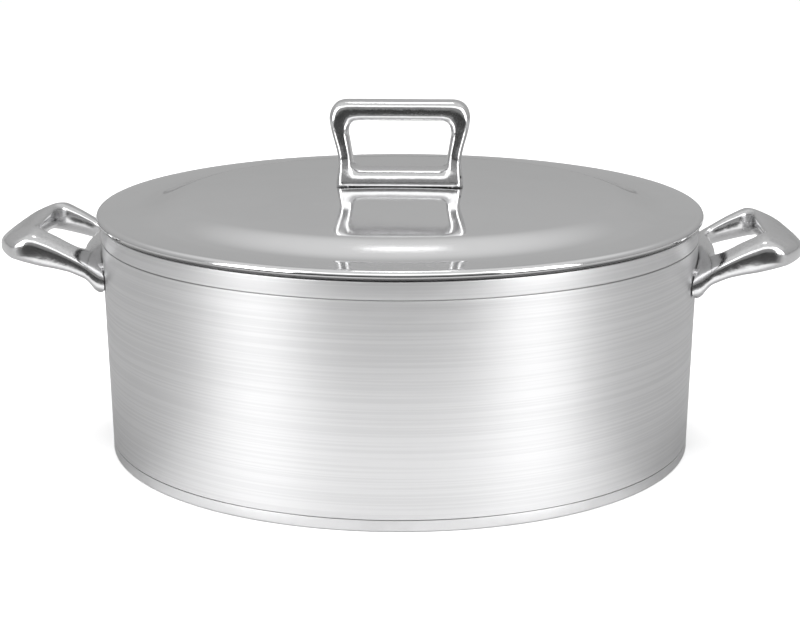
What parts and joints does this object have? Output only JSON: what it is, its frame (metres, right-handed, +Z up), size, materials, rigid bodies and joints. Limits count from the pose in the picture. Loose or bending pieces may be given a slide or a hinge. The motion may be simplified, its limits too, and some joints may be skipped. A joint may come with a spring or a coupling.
{
  "type": "lidded casserole pot",
  "caption": "Wide, low stainless cooking pot with a domed lift-off lid, a cast loop handle on the lid and on each side, and a heat-spreading base.",
  "frame": {"origin": "centre of the flat face that the pot stands on", "axes": "+Z up along the pot's axis, +X towards the right-hand side handle, +Y towards the back"},
  "size_m": [0.4086, 0.307, 0.1764],
  "materials": {
    "brushed_steel": "satin, with fine brushing round the pot",
    "polished_steel": "stainless steel polished bright, with a faint bloom",
    "cast_steel": "cast stainless steel, tumbled and polished by hand",
    "core_aluminium": "plain turned",
    "screw_steel": "bright, with turning marks"
  },
  "bodies": {
    "pot": {"pot_shell": "brushed_steel", "base_core": "core_aluminium", "base_cap": "brushed_steel", "right_handle": "cast_steel", "right_handle_screw_a": "screw_steel", "right_handle_screw_b": "screw_steel", "right_handle_washer_a": "screw_steel", "right_handle_washer_b": "screw_steel", "left_handle": "cast_steel", "left_handle_screw_a": "screw_steel", "left_handle_screw_b": "screw_steel", "left_handle_washer_a": "screw_steel", "left_handle_washer_b": "screw_steel"},
    "lid": {"lid_shell": "polished_steel", "lid_locating_ring": "polished_steel", "lid_handle": "cast_steel", "lid_handle_screw_a": "screw_steel", "lid_handle_screw_b": "screw_steel", "lid_handle_washer_a": "screw_steel", "lid_handle_washer_b": "screw_steel"}
  },
  "joints": [
    {"name": "lid_lift", "type": "slide", "parent": "pot", "child": "lid", "axis": [0, 0, 1], "range_m": [0, 0.2]}
  ]
}
